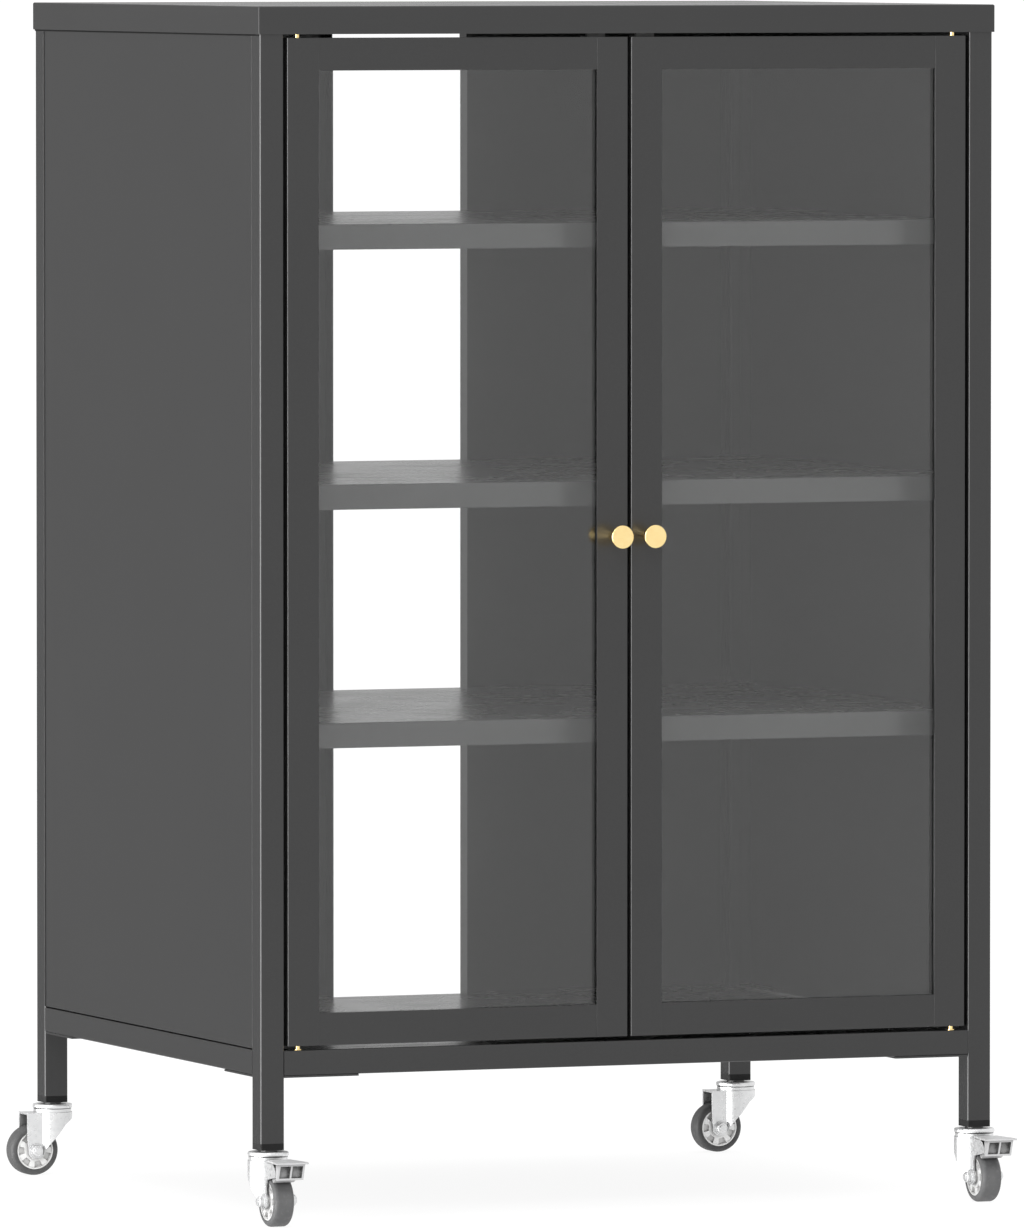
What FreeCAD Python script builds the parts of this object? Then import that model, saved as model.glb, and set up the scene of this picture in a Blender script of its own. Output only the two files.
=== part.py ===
import FreeCAD, Part
import os
import Sketcher
from FreeCAD import Rotation, Vector

# A steel media cabinet on casters: a frame of square tube under a folded cap, side and back
# panels, three shelves, two glazed doors on pivot pins, and four swivel casters, the front
# pair with foot brakes. Origin: centre of the footprint on the floor. +X is the right-hand
# side seen from the front, +Y the back, +Z up. Lengths are millimetres.

os.makedirs("parts", exist_ok=True)
doc = FreeCAD.newDocument("media_cabinet")

DIMENSIONS = {
    # whole cabinet
    "width": 600, "depth": 498, "height": 915,
    "skin": 1.2,                # steel sheet and tube wall
    "overhang": 1.4,            # cap beyond the posts
    "cap_high": 21, "cap_round": 0.5,
    "hairline": 0.1,            # clearance of a plug in its tube
    "past": 1,                  # how far a cut runs past the face it opens
    # frame
    "tube": 19, "tube_round": 1.5,
    "leg_low": 61.7, "plug_low": 56.7, "plug_in": 20,
    "rail_low": 112.4,
    "gusset_leg": 60, "gusset_thick": 1.5, "gusset_end": 14, "gusset_off_post": 0.2,
    "gusset_off_face": 0.5,
    # screws
    "screw_radius": 2, "screw_head": 3.8, "screw_head_high": 2.2, "screw_dome": 1,
    "screw_free": 0.2, "screw_tight": 0.05, "cap_screw_long": 8, "shelf_screw_long": 12,
    # panels
    "inset": 0.6,               # panel face behind the face of the posts
    "panel_fold": 10,
    "panel_seam": 0.9,          # open line between a side panel and the rail under it
    "slot_half": 56.5, "slot_fold": 15,
    "floor_fold": 15,
    # shelves
    "shelf_upper": 750.6, "shelf_middle": 554.7, "shelf_lower": 374.9,
    "shelf_fold": 19, "shelf_front": 212, "shelf_rear": 225, "shelf_gap": 0.6,
    # doors
    "door_side_gap": 2.8, "door_centre_gap": 2.6, "door_foot_gap": 3.2, "door_head_gap": 2.8,
    "door_deep": 18, "stile": 25.2, "door_rail": 24.5, "rail_back": 0.4, "lip": 2.2,
    "stile_round": 1.2, "rebate": 7, "glass": 4, "gasket": 0.4, "gasket_back": 3, "glass_play": 1,
    "gasket_shy": 4,            # gasket edge behind the edge of the frame opening
    "door_plug": 14,
    "pin_edge": 9.6, "pin_back": 5, "pin_radius": 2, "pin_deep": 6, "pin_fit": 0.03,
    "bush_radius": 3.3, "bush_deep": 8, "bush_proud": 0.7,
    "knob_up": 514, "knob_long": 20, "knob_face": 8.8, "knob_neck": 3.9, "knob_rim": 3,
    "knob_round": 0.6, "knob_off": 3, "knob_tapped": 10,
    "catch_at": 20, "catch_wide": 15, "catch_low": 877, "catch_high": 892, "catch_deep": 12,
    "lug_thick": 2.4, "lug_high": 12,
    "strike_thick": 1.2, "catch_gap": 0.4, "strike_low": 15.5, "strike_high": 1.5,
    # caster stems
    "race_gap": 0.3, "race_radius": 14.8, "race_top": 51.6,
    "cup_radius": 15.5, "cup_low": 51.9, "cup_high": 55.3, "cup_round": 1.2, "collar": 7,
    "kingpin": 3, "kingpin_head": 4.5, "kingpin_head_high": 2, "stem_radius": 4, "stem_high": 87.5,
    # caster forks: heights of the side outline, from the nose back to the ears
    "trail": 17, "fork_top": 48.9, "fork_plate": 1.5, "fork_half": 10.2, "nose_radius": 15.5,
    "fork_end": 24.3, "axle_boss": 6.2,
    "nose_low": 45.1, "nose_knee": 39.7, "nose_knee_in": 6, "cheek_front": 19.9,
    "cheek_rear": 20.5, "cheek_end": 27.8, "cheek_lead": 0.6, "cheek_lag": 1.2,
    "foot_flat": 1.4, "notch_in": 3.8, "notch_low": 25.5, "notch_high": 31.6,
    "ear_rear": 36, "ear_end": 42, "ear_low": 39.4, "ear_round": 7.8, "chin_round": 1.8,
    # wheels and axles
    "wheel_radius": 19.5, "tyre_wide": 16, "tyre_round": 3.6, "rim_radius": 15, "rim_wide": 15.2,
    "rim_round": 0.5, "rim_edge": 1.3, "rim_dish": 0.7, "rim_hub": 4.6, "rim_web": 4.6,
    "pocket_in": 8.6, "pocket_out": 13.2, "pocket_in_half": 2.3, "pocket_out_half": 3.4,
    "axle_radius": 2.5, "axle_head": 4.3, "axle_end": 15.7, "washer_wide": 1.1,
    "washer_thick": 0.9, "nut_round": 0.7, "running": 0.06, "press": 0.02,
    # foot brake
    "brake_out": 34, "brake_up": 45.3, "brake_pin": 1.5, "pedal_half": 10.5, "pedal_low": 37.2,
    "pedal_front": 50.8, "pedal_foot": 46.4, "pedal_rear": 43.6, "pedal_wall": 1.5,
    "arm_play": 0.4, "arm_deep": 3.6, "arm_rear": 4, "shoe_low": 10.9, "shoe_bend": 9.5,
    "shoe_toe": 1.4, "shoe_heel": 1.2,
    "plate_half": 12.5, "plate_front": 53, "plate_low": 49.4, "plate_thick": 1.3,
    "plate_back": 21.8, "plate_back_half": 9.5,
}

sheet = doc.addObject("Spreadsheet::Sheet", "dim")
for row, (alias, number) in enumerate(DIMENSIONS.items(), start=1):
    sheet.set(f"A{row}", str(number))
    sheet.setAlias(f"A{row}", alias)
doc.recompute()

# Places worked out from the driving dimensions, as expressions.
POST_OUT_X = "(dim.width / 2 - dim.overhang)"
POST_OUT_Y = "(dim.depth / 2 - dim.overhang)"
POST_IN_X = f"({POST_OUT_X} - dim.tube)"
POST_IN_Y = f"({POST_OUT_Y} - dim.tube)"
POST_X = f"({POST_OUT_X} - dim.tube / 2)"
POST_Y = f"({POST_OUT_Y} - dim.tube / 2)"
ROOF = "(dim.height - dim.skin)"
HEAD_LOW = f"({ROOF} - dim.tube)"
RAIL_TOP = "(dim.rail_low + dim.tube)"
PANEL_OUT_X = f"({POST_OUT_X} - dim.inset)"
PANEL_OUT_Y = f"({POST_OUT_Y} - dim.inset)"
SHELF_END = f"({POST_IN_X} - dim.shelf_gap)"
DOOR_OUT = f"({POST_IN_X} - dim.door_side_gap)"
DOOR_IN = "(dim.door_centre_gap / 2)"
DOOR_LOW = f"({RAIL_TOP} + dim.door_foot_gap)"
DOOR_TOP = "(dim.height - dim.cap_high - dim.door_head_gap)"
DOOR_FRONT = f"(-{POST_OUT_Y})"
DOOR_BACK = f"({DOOR_FRONT} + dim.door_deep)"
PIN_X = f"({DOOR_OUT} - dim.pin_edge)"
PIN_Y = f"({DOOR_FRONT} + dim.pin_back)"
KNOB_X = f"({DOOR_IN} + (dim.stile - dim.rebate) / 2 + dim.knob_off)"
SHELVES = {"upper": "dim.shelf_upper", "middle": "dim.shelf_middle", "lower": "dim.shelf_lower"}
CORNERS = {"front_left": (-1, -1), "front_right": (1, -1), "rear_left": (-1, 1),
           "rear_right": (1, 1)}
SIDES = {"left": -1, "right": 1}
CAP_SCREWS = ("-220", "0", "220")
CAP_SCREW_UP = f"({HEAD_LOW} + dim.tube / 2)"
SHELF_SCREWS = [(side, along) for side in SIDES.values() for along in ("-180", "190")]

ALONG = {"x": Rotation(Vector(0, 1, 0), 90), "y": Rotation(Vector(1, 0, 0), -90),
         "z": Rotation()}
nodes = []


def value(expression):
    return float(sheet.evalExpression(expression))


def less(expression, amount):
    return f"({expression} - ({amount}))"


def more(expression, amount):
    return f"({expression} + ({amount}))"


def both(half):
    return f"-({half})", f"({half})"


def span(side, near, far):
    """The range from near to far on one side of the middle, low end first."""
    return (f"({near})", f"({far})") if side > 0 else (f"-({far})", f"-({near})")


def sign(side, expression):
    return f"({side} * {expression})"


def node(made, name):
    made.Label = name
    nodes.append(made)
    return made


def body(name, place=("0", "0", "0"), turn=Rotation(), sub_part=True):
    made = doc.addObject("PartDesign::Body", name)
    made.Placement.Rotation = turn
    for axis, expression in zip("xyz", place):
        made.setExpression("Placement.Base." + axis, expression)
    return node(made, name) if sub_part else made


def group(name, members):
    made = doc.addObject("Part::Compound", name)
    made.Links = members
    return node(made, name)


def bound(feature, sizes, place):
    for prop, expression in sizes.items():
        feature.setExpression(prop, expression)
    for axis, expression in zip("xyz", place):
        feature.setExpression("Placement.Base." + axis, expression)
    return feature


def box(owner, name, x, y, z, cut=False):
    """A block, or with cut a hollow, between the low and high ends of x, y and z."""
    kind = "PartDesign::SubtractiveBox" if cut else "PartDesign::AdditiveBox"
    sizes = {prop: f"({high}) - ({low})"
             for prop, (low, high) in zip(("Length", "Width", "Height"), (x, y, z))}
    return bound(owner.newObject(kind, name), sizes, (x[0], y[0], z[0]))


def rod(owner, name, radius, at, ends, along="z", cut=False, neck=None):
    """A cylinder between two ends along an axis; at holds its two other coordinates. With
    neck it is a cone of that radius at the low end."""
    shape = "Cone" if neck else "Cylinder"
    feature = owner.newObject(f"PartDesign::{'Subtractive' if cut else 'Additive'}{shape}", name)
    feature.Placement.Rotation = ALONG[along]
    sizes = {"Height": f"({ends[1]}) - ({ends[0]})"}
    sizes.update({"Radius1": neck, "Radius2": radius} if neck else {"Radius": radius})
    place = list(at)
    place.insert("xyz".index(along), ends[0])
    return bound(feature, sizes, place)


def outline(owner, name, plane, points):
    """A closed sketch of straight lines on an origin plane, each corner held by expressions."""
    sketch = owner.newObject("Sketcher::SketchObject", name)
    support = next(item for item in owner.Origin.OriginFeatures if item.Role == plane)
    sketch.AttachmentSupport = [(support, "")]
    sketch.MapMode = "FlatFace"
    corners = [Vector(value(across), value(up), 0) for across, up in points]
    count = len(corners)
    for index, corner in enumerate(corners):
        sketch.addGeometry(Part.LineSegment(corner, corners[(index + 1) % count]))
    for index in range(count):
        joined = Sketcher.Constraint("Coincident", index, 2, (index + 1) % count, 1)
        sketch.addConstraint(joined)
    for index, (across, up) in enumerate(points):
        for kind, expression in (("DistanceX", across), ("DistanceY", up)):
            rule = Sketcher.Constraint(kind, -1, 1, index, 1, value(expression))
            number = sketch.addConstraint(rule)
            sketch.setExpression(f"Constraints[{number}]", expression)
    return sketch


def sweep(owner, name, sketch, length, cut=False, lift=None):
    """A pad or pocket on both sides of its sketch, or from the sketch up with lift."""
    feature = owner.newObject("PartDesign::Pocket" if cut else "PartDesign::Pad", name)
    feature.Profile = sketch
    if lift:
        sketch.setExpression("AttachmentOffset.Base.z", lift)
    else:
        feature.SideType = "Symmetric"
    feature.setExpression("Length", length)
    return feature


def ease(owner, name, size, wanted, kind="Fillet"):
    """Rounds or chamfers every edge of the body so far that wanted() picks."""
    doc.recompute()
    base = owner.Tip
    edges = [f"Edge{number}" for number, edge in enumerate(base.Shape.Edges, start=1)
             if wanted(edge)]
    feature = owner.newObject("PartDesign::" + kind, name)
    feature.Base = (base, edges)
    feature.setExpression("Radius" if kind == "Fillet" else "Size", size)
    return feature


def runs_along(axis):
    """Picks the straight edges along one axis."""
    direction = {"x": Vector(1, 0, 0), "y": Vector(0, 1, 0), "z": Vector(0, 0, 1)}[axis]

    def wanted(edge):
        straight = edge.Curve.TypeId == "Part::GeomLine"
        return straight and abs(edge.tangentAt(edge.FirstParameter).dot(direction)) > 0.999

    return wanted


def at_height(level, tolerance=0.01):
    """Picks the edges that lie at one height."""
    def wanted(edge):
        return all(abs(point.z - level) < tolerance for point in (
            edge.valueAt(edge.FirstParameter), edge.valueAt(edge.LastParameter),
            edge.CenterOfMass))

    return wanted


def tube(name, along, ends, middle, across=("dim.tube", "dim.tube"), sub_part=True):
    """A square or rectangular tube between two ends along x, y or z; middle and across hold
    the centre and the widths on the two other axes."""
    made = body(name, sub_part=sub_part)
    for word, wall, cut in (("outside", "0", False), ("bore", "dim.skin", True)):
        ranges = [(f"{centre} - {wide} / 2 + {wall}", f"{centre} + {wide} / 2 - {wall}")
                  for centre, wide in zip(middle, across)]
        ranges.insert("xyz".index(along), ends)
        box(made, f"{name}_{word}", *ranges, cut=cut)
        if not cut:
            ease(made, name + "_corners", "dim.tube_round", runs_along(along))
    return made


# ---------------------------------------------------------------- frame and shell

def top_cover():
    made = body("top_cover")
    low = "(dim.height - dim.cap_high)"
    box(made, "cap_outside", both("dim.width / 2"), both("dim.depth / 2"), (low, "dim.height"))
    ease(made, "cap_corners", "dim.cap_round", runs_along("z"))
    ease(made, "cap_bends", "dim.skin", at_height(value("dim.height")))
    box(made, "cap_inside", both("dim.width / 2 - dim.skin"), both("dim.depth / 2 - dim.skin"),
        (low, ROOF), cut=True)
    for number, place in enumerate(CAP_SCREWS):
        rod(made, f"cap_screw_hole_{number}", "(dim.screw_radius + dim.screw_free)",
            (place, CAP_SCREW_UP), ("dim.depth / 2 - dim.skin - dim.past",
             "dim.depth / 2 + dim.past"), "y", cut=True)


def cap_screws():
    screws = []
    for number, place in enumerate(CAP_SCREWS):
        made = body(f"cap_screw_{number}", sub_part=False)
        rod(made, f"cap_screw_shank_{number}", "dim.screw_radius", (place, CAP_SCREW_UP),
            (less(POST_OUT_Y, "dim.cap_screw_long"), "dim.depth / 2"), "y")
        rod(made, f"cap_screw_head_{number}", "dim.screw_head", (place, CAP_SCREW_UP),
            ("dim.depth / 2", "dim.depth / 2 + dim.screw_head_high"), "y")
        ease(made, f"cap_screw_dome_{number}", "dim.screw_dome", lambda edge: (
            abs(edge.CenterOfMass.y - value("dim.depth / 2 + dim.screw_head_high")) < 0.01
            and len(edge.Vertexes) == 1))
        screws.append(made)
    group("cap_screws", screws)


def posts():
    for corner, (side, end) in CORNERS.items():
        tube("post_" + corner, "z", ("dim.leg_low", ROOF), (sign(side, POST_X), sign(end, POST_Y)))


def bottom_rails():
    level = "(dim.rail_low + dim.tube / 2)"
    for name, end in (("front", -1), ("rear", 1)):
        made = tube(name + "_bottom_rail", "x", both(POST_IN_X), (sign(end, POST_Y), level))
        if end < 0:
            for side in SIDES.values():
                rod(made, f"bush_hole_{'left' if side < 0 else 'right'}",
                    "(dim.bush_radius + dim.running)", (sign(side, PIN_X), PIN_Y),
                    (less(RAIL_TOP, "2 * dim.skin"), more(RAIL_TOP, "dim.past")), cut=True)
    for name, side in SIDES.items():
        tube(name + "_bottom_rail", "y", both(POST_IN_Y), (sign(side, POST_X), level))


def top_rails():
    level = CAP_SCREW_UP
    rails = []
    for name, end in (("front", -1), ("rear", 1)):
        made = tube(name + "_top_rail", "x", both(POST_IN_X), (sign(end, POST_Y), level),
                    sub_part=False)
        rails.append(made)
        if end < 0:
            for word, side in SIDES.items():
                rod(made, "head_bush_hole_" + word, "(dim.bush_radius + dim.running)",
                    (sign(side, PIN_X), PIN_Y),
                    (less(HEAD_LOW, "dim.past"), more(HEAD_LOW, "2 * dim.skin")), cut=True)
        else:
            for number, place in enumerate(CAP_SCREWS):
                rod(made, f"rail_screw_hole_{number}", "(dim.screw_radius + dim.screw_tight)",
                    (place, level),
                    (less(POST_OUT_Y, "2 * dim.skin"), more(POST_OUT_Y, "dim.past")), "y", cut=True)
    for name, side in SIDES.items():
        rails.append(tube(name + "_top_rail", "y", both(POST_IN_Y), (sign(side, POST_X), level),
                          sub_part=False))
    group("top_rails", rails)


def side_panels():
    foot = more(RAIL_TOP, "dim.panel_seam")
    for name, side in SIDES.items():
        made = body(name + "_side_panel")
        fold = less(PANEL_OUT_X, "dim.panel_fold")
        box(made, name + "_side_outside", span(side, fold, PANEL_OUT_X), both(POST_IN_Y),
            (foot, HEAD_LOW))
        box(made, name + "_side_inside",
            span(side, less(fold, "dim.past"), less(PANEL_OUT_X, "dim.skin")),
            both(less(POST_IN_Y, "dim.skin")),
            (more(foot, "dim.skin"), less(HEAD_LOW, "dim.skin")), cut=True)


def back_panels():
    for name, side in SIDES.items():
        made = body("back_panel_" + name)
        fold = less(PANEL_OUT_Y, "dim.panel_fold")
        across = span(side, "dim.slot_half", POST_IN_X)
        box(made, name + "_back_outside", across, (fold, PANEL_OUT_Y), (RAIL_TOP, HEAD_LOW))
        box(made, name + "_slot_fold", span(side, "dim.slot_half", "dim.slot_half + dim.skin"),
            (less(PANEL_OUT_Y, "dim.slot_fold"), PANEL_OUT_Y), (RAIL_TOP, HEAD_LOW))
        box(made, name + "_back_inside",
            span(side, "dim.slot_half + dim.skin", less(POST_IN_X, "dim.skin")),
            (less(PANEL_OUT_Y, "dim.slot_fold + dim.past"), less(PANEL_OUT_Y, "dim.skin")),
            (more(RAIL_TOP, "dim.skin"), less(HEAD_LOW, "dim.skin")), cut=True)


def tray(made, name, x, y, top, fold):
    """A sheet with all four edges folded down."""
    box(made, name + "_outside", x, y, (less(top, fold), top))
    inner = [(more(low, "dim.skin"), less(high, "dim.skin")) for low, high in (x, y)]
    box(made, name + "_inside", *inner, (less(top, more(fold, "dim.past")), less(top, "dim.skin")),
        cut=True)


def bottom_panel():
    made = body("bottom_panel")
    tray(made, "floor", both(POST_IN_X), both(POST_IN_Y), RAIL_TOP, "dim.floor_fold")


def shelves():
    for name, top in SHELVES.items():
        made = body(name + "_shelf")
        tray(made, name, both(SHELF_END), ("-dim.shelf_front", "dim.shelf_rear"), top,
             "dim.shelf_fold")
        ease(made, name + "_bends", "dim.skin", at_height(value(top)))
        for number, (side, along) in enumerate(SHELF_SCREWS):
            rod(made, f"{name}_shelf_hole_{number}", "(dim.screw_radius + dim.screw_free)",
                (along, less(top, "dim.shelf_fold / 2")),
                span(side, less(SHELF_END, "2 * dim.skin"), more(SHELF_END, "dim.past")), "x",
                cut=True)


def shelf_rails():
    wide = f"({PANEL_OUT_X} - dim.skin - {POST_IN_X})"
    middle = f"({POST_IN_X} + {wide} / 2)"
    rails = []
    for name, top in SHELVES.items():
        level = less(top, "dim.shelf_fold / 2")
        for word, side in SIDES.items():
            made = tube(f"{name}_{word}_shelf_rail", "y", both(less(POST_IN_Y, "dim.skin")),
                        (sign(side, middle), level), (wide, "dim.shelf_fold"), sub_part=False)
            for number, (screw_side, along) in enumerate(SHELF_SCREWS):
                if screw_side == side:
                    rod(made, f"{name}_{word}_rail_hole_{number}",
                        "(dim.screw_radius + dim.screw_tight)",
                        (along, level),
                        span(side, less(POST_IN_X, "dim.past"), more(POST_IN_X, "2 * dim.skin")),
                        "x", cut=True)
            rails.append(made)
    group("shelf_rails", rails)


def shelf_screws():
    screws = []
    for name, top in SHELVES.items():
        for number, (side, along) in enumerate(SHELF_SCREWS):
            made = body(f"{name}_shelf_screw_{number}", sub_part=False)
            at = (along, less(top, "dim.shelf_fold / 2"))
            bearing = less(SHELF_END, "dim.skin")
            rod(made, f"{name}_shank_{number}", "dim.screw_radius", at,
                span(side, bearing, more(bearing, "dim.shelf_screw_long")), "x")
            rod(made, f"{name}_head_{number}", "dim.screw_head", at,
                span(side, less(bearing, "dim.screw_head_high"), bearing), "x")
            screws.append(made)
    group("shelf_screws", screws)


def corner_gussets():
    plates = []
    for corner, (side, end) in CORNERS.items():
        made = body("gusset_" + corner, sub_part=False)
        post_x = less(POST_IN_X, "dim.gusset_off_post")
        post_y = less(POST_IN_Y, "dim.gusset_off_post")
        out_x = less(POST_OUT_X, "dim.gusset_off_face")
        out_y = less(POST_OUT_Y, "dim.gusset_off_face")
        far_x, far_y = less(POST_IN_X, "dim.gusset_leg"), less(POST_IN_Y, "dim.gusset_leg")
        points = [(far_x, out_y), (post_x, out_y), (post_x, post_y), (out_x, post_y),
                  (out_x, far_y), (less(POST_IN_X, "dim.gusset_end"), far_y),
                  (far_x, less(POST_IN_Y, "dim.gusset_end"))]
        points = [(sign(side, across), sign(end, along)) for across, along in points]
        sketch = outline(made, f"gusset_{corner}_outline", "XY_Plane", points)
        sweep(made, f"gusset_{corner}_plate", sketch, "dim.gusset_thick",
              lift="(dim.rail_low - dim.gusset_thick)")
        plates.append(made)
    group("corner_gussets", plates)


def leg_plugs():
    plugs = []
    for corner, (side, end) in CORNERS.items():
        made = body("leg_plug_" + corner, (sign(side, POST_X), sign(end, POST_Y), "0"),
                    sub_part=False)
        box(made, f"plug_{corner}_cap", both("dim.tube / 2"), both("dim.tube / 2"),
            ("dim.plug_low", "dim.leg_low"))
        ease(made, f"plug_{corner}_corners", "dim.tube_round", runs_along("z"))
        inner = both("dim.tube / 2 - dim.skin - dim.hairline")
        box(made, f"plug_{corner}_spigot", inner, inner,
            ("dim.leg_low", "dim.leg_low + dim.plug_in"))
        rod(made, f"plug_{corner}_bore", "(dim.stem_radius + dim.screw_tight)", ("0", "0"),
            ("dim.plug_low - dim.past", "dim.leg_low + dim.plug_in + dim.past"), cut=True)
        plugs.append(made)
    group("leg_plugs", plugs)


def hinge_bushes():
    bushes = []
    ends = {"foot": (less(RAIL_TOP, "dim.bush_deep"), more(RAIL_TOP, "dim.bush_proud")),
            "head": (less(HEAD_LOW, "dim.bush_proud"), more(HEAD_LOW, "dim.bush_deep"))}
    for word, side in SIDES.items():
        for level, (low, high) in ends.items():
            made = body(f"bush_{word}_{level}", sub_part=False)
            at = (sign(side, PIN_X), PIN_Y)
            rod(made, f"bush_{word}_{level}_outside", "dim.bush_radius", at, (low, high))
            rod(made, f"bush_{word}_{level}_bore", "(dim.pin_radius + dim.running)", at,
                (less(low, "dim.past"), more(high, "dim.past")), cut=True)
            bushes.append(made)
    group("hinge_bushes", bushes)


def magnet_catches():
    catches = []
    face = more(DOOR_BACK, "dim.strike_thick + dim.catch_gap")
    beam = f"(-{POST_IN_Y})"
    for word, side in SIDES.items():
        made = body(f"catch_{word}", sub_part=False)
        across = span(side, "dim.catch_at - dim.catch_wide / 2",
                      "dim.catch_at + dim.catch_wide / 2")
        box(made, f"catch_{word}_case", across, (face, more(face, "dim.catch_deep")),
            ("dim.catch_low", "dim.catch_high"))
        box(made, f"catch_{word}_lug", across, (beam, more(beam, "dim.lug_thick")),
            ("dim.catch_high - dim.past", more(HEAD_LOW, "dim.lug_high")))
        catches.append(made)
    group("magnet_catches", catches)


# ---------------------------------------------------------------- doors

GLASS_X = (more(DOOR_IN, "dim.stile"), less(DOOR_OUT, "dim.stile"))
GLASS_Z = (more(DOOR_LOW, "dim.door_rail"), less(DOOR_TOP, "dim.door_rail"))
GLASS_Y = (more(DOOR_FRONT, "dim.lip + dim.gasket"),
           more(DOOR_FRONT, "dim.lip + dim.gasket + dim.glass"))


def grown(side, amount):
    """The glazed opening of one door, grown on all sides: its x and z ranges."""
    x = span(side, less(GLASS_X[0], amount), more(GLASS_X[1], amount))
    return x, (less(GLASS_Z[0], amount), more(GLASS_Z[1], amount))


def stile_ranges(side):
    """The x ranges of the tube part of the hinge stile and of the meeting stile."""
    tube_wide = "(dim.stile - dim.rebate)"
    return {"hinge": span(side, less(DOOR_OUT, tube_wide), DOOR_OUT),
            "meeting": span(side, DOOR_IN, more(DOOR_IN, tube_wide))}


def door_frame(name, side):
    """Two full-height stiles and two rails set back between them, each a tube with a lip that
    the glass lies behind. The stiles are open at both ends."""
    made = body(name + "_door_frame")
    box(made, name + "_door_blank", span(side, DOOR_IN, DOOR_OUT), (DOOR_FRONT, DOOR_BACK),
        (DOOR_LOW, DOOR_TOP))
    ease(made, name + "_stile_edges", "dim.stile_round", runs_along("z"))
    opening_x, opening_z = grown(side, 0)
    box(made, name + "_rails_set_back", opening_x,
        (less(DOOR_FRONT, "dim.past"), more(DOOR_FRONT, "dim.rail_back")),
        (less(DOOR_LOW, "dim.past"), more(DOOR_TOP, "dim.past")), cut=True)
    box(made, name + "_opening", opening_x,
        (less(DOOR_FRONT, "dim.past"), more(DOOR_BACK, "dim.past")), opening_z, cut=True)
    rebate_x, rebate_z = grown(side, "dim.rebate")
    box(made, name + "_rebate", rebate_x,
        (more(DOOR_FRONT, "dim.lip"), more(DOOR_BACK, "dim.past")),
        rebate_z, cut=True)
    wall = "dim.skin"
    stiles = stile_ranges(side)
    for word, (low, high) in stiles.items():
        box(made, f"{name}_{word}_bore", (more(low, wall), less(high, wall)),
            (more(DOOR_FRONT, wall), less(DOOR_BACK, wall)),
            (less(DOOR_LOW, "dim.past"), more(DOOR_TOP, "dim.past")),
            cut=True)
    left, right = sorted(stiles.values(), key=lambda ends: value(ends[0]))
    between = (less(left[1], "dim.skin + dim.past"), more(right[0], "dim.skin + dim.past"))
    depth = (more(DOOR_FRONT, "dim.rail_back + dim.skin"), less(DOOR_BACK, wall))
    rail_high = "(dim.door_rail - dim.rebate - dim.skin)"
    box(made, name + "_foot_bore", between, depth,
        (more(DOOR_LOW, wall), more(DOOR_LOW, rail_high)),
        cut=True)
    box(made, name + "_head_bore", between, depth,
        (less(DOOR_TOP, rail_high), less(DOOR_TOP, wall)),
        cut=True)
    rod(made, name + "_knob_hole", "(dim.screw_radius + dim.screw_free)",
        (sign(side, KNOB_X), "dim.knob_up"),
        (less(DOOR_FRONT, "dim.past"), more(DOOR_BACK, "dim.past")), "y", cut=True)


def door_plugs(name, side):
    """Nylon blocks that close the stile ends; the hinge pins are held in the outer two."""
    plugs = []
    levels = {"foot": (DOOR_LOW, more(DOOR_LOW, "dim.door_plug")),
              "head": (less(DOOR_TOP, "dim.door_plug"), DOOR_TOP)}
    play = "(dim.skin + dim.hairline)"
    for word, (low, high) in stile_ranges(side).items():
        for level, height in levels.items():
            made = body(f"{name}_{word}_{level}_plug", sub_part=False)
            box(made, f"{name}_{word}_{level}_block", (more(low, play), less(high, play)),
                (more(DOOR_FRONT, play), less(DOOR_BACK, play)), height)
            if word == "hinge":
                rod(made, f"{name}_{level}_pin_hole", "(dim.pin_radius + dim.pin_fit)",
                    (sign(side, PIN_X), PIN_Y),
                    (less(height[0], "dim.past"), more(height[1], "dim.past")), cut=True)
            plugs.append(made)
    group(name + "_door_plugs", plugs)


def hinge_pins(name, side):
    ends = {"foot": (less(RAIL_TOP, "dim.pin_deep"), more(DOOR_LOW, "dim.door_plug")),
            "head": (less(DOOR_TOP, "dim.door_plug"), more(HEAD_LOW, "dim.pin_deep"))}
    pins = []
    for level, height in ends.items():
        made = body(f"{name}_{level}_pin", sub_part=False)
        rod(made, f"{name}_{level}_pin_rod", "dim.pin_radius", (sign(side, PIN_X), PIN_Y), height)
        pins.append(made)
    group(name + "_hinge_pins", pins)


def door_glass(name, side):
    made = body(name + "_door_glass")
    x, z = grown(side, "dim.rebate - dim.glass_play")
    box(made, name + "_pane", x, GLASS_Y, z)


def glass_gasket(name, side):
    """A rubber channel round the edge of the pane, pressed into the rebate from the back."""
    made = body(name + "_glass_gasket")
    x, z = grown(side, "dim.rebate - dim.hairline")
    box(made, name + "_gasket_outside", x,
        (more(DOOR_FRONT, "dim.lip"), more(GLASS_Y[1], "dim.gasket_back")), z)
    x, z = grown(side, "dim.rebate - dim.glass_play")
    box(made, name + "_gasket_groove", x, GLASS_Y, z, cut=True)
    x, z = grown(side, "dim.gasket_shy")
    box(made, name + "_gasket_window", x, (DOOR_FRONT, DOOR_BACK), z, cut=True)


def knob(name, side):
    made = body(name + "_door_knob")
    at = (sign(side, KNOB_X), "dim.knob_up")
    face = less(DOOR_FRONT, "dim.knob_long")
    rod(made, name + "_knob_flare", "dim.knob_neck", at, (more(face, "dim.knob_rim"), DOOR_FRONT),
        "y", neck="dim.knob_face")
    rod(made, name + "_knob_face", "dim.knob_face", at, (face, more(face, "dim.knob_rim")), "y")
    ease(made, name + "_knob_edge", "dim.knob_round", lambda edge: (
        abs(edge.CenterOfMass.y - value(face)) < 0.01 and len(edge.Vertexes) == 1))
    rod(made, name + "_knob_thread", "(dim.screw_radius + dim.screw_tight)", at,
        (less(DOOR_FRONT, "dim.knob_tapped"), more(DOOR_FRONT, "dim.past")), "y", cut=True)


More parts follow.
